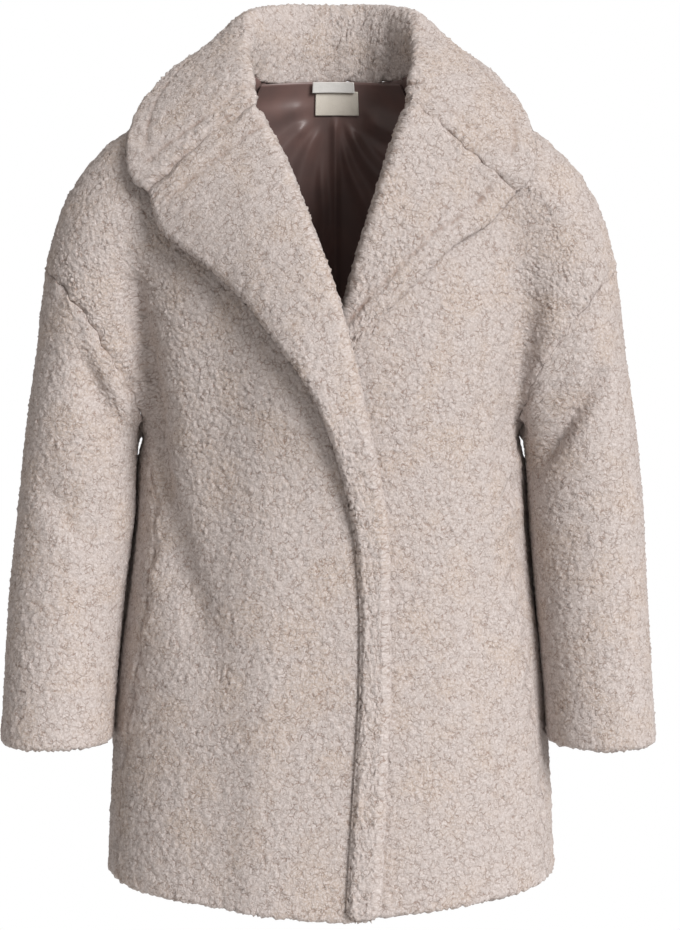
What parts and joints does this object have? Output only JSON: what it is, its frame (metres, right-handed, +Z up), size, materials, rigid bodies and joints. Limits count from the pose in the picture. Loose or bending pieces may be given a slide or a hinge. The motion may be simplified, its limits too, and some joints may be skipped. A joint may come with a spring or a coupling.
{
  "type": "faux fur coat",
  "caption": "Hip-length coat of curly faux fur with a wide notched collar, drop shoulders and a crossed front, filled out as if worn.",
  "frame": {"origin": "middle of the neck opening at the height of the nape seam, where a wearer's shoulders and neck carry the coat", "axes": "+Z up out of the neck; -Y is the front of the coat; +X is the wearer's left"},
  "size_m": [0.6952, 0.3108, 0.9544],
  "materials": {
    "fur": "deep curly pile, matte",
    "lining_satin": "smooth satin",
    "label_cloth": "fine damask weave",
    "tape_cloth": "smooth woven tape"
  },
  "bodies": {
    "root": {"back": "fur", "front_right": "fur", "front_left": "fur", "sleeve_right": "fur", "sleeve_left": "fur", "collar": "fur", "lapel_right": "fur", "lapel_left": "fur", "lining_back": "lining_satin", "label": "label_cloth", "hanger_tag": "tape_cloth"}
  },
  "joints": []
}
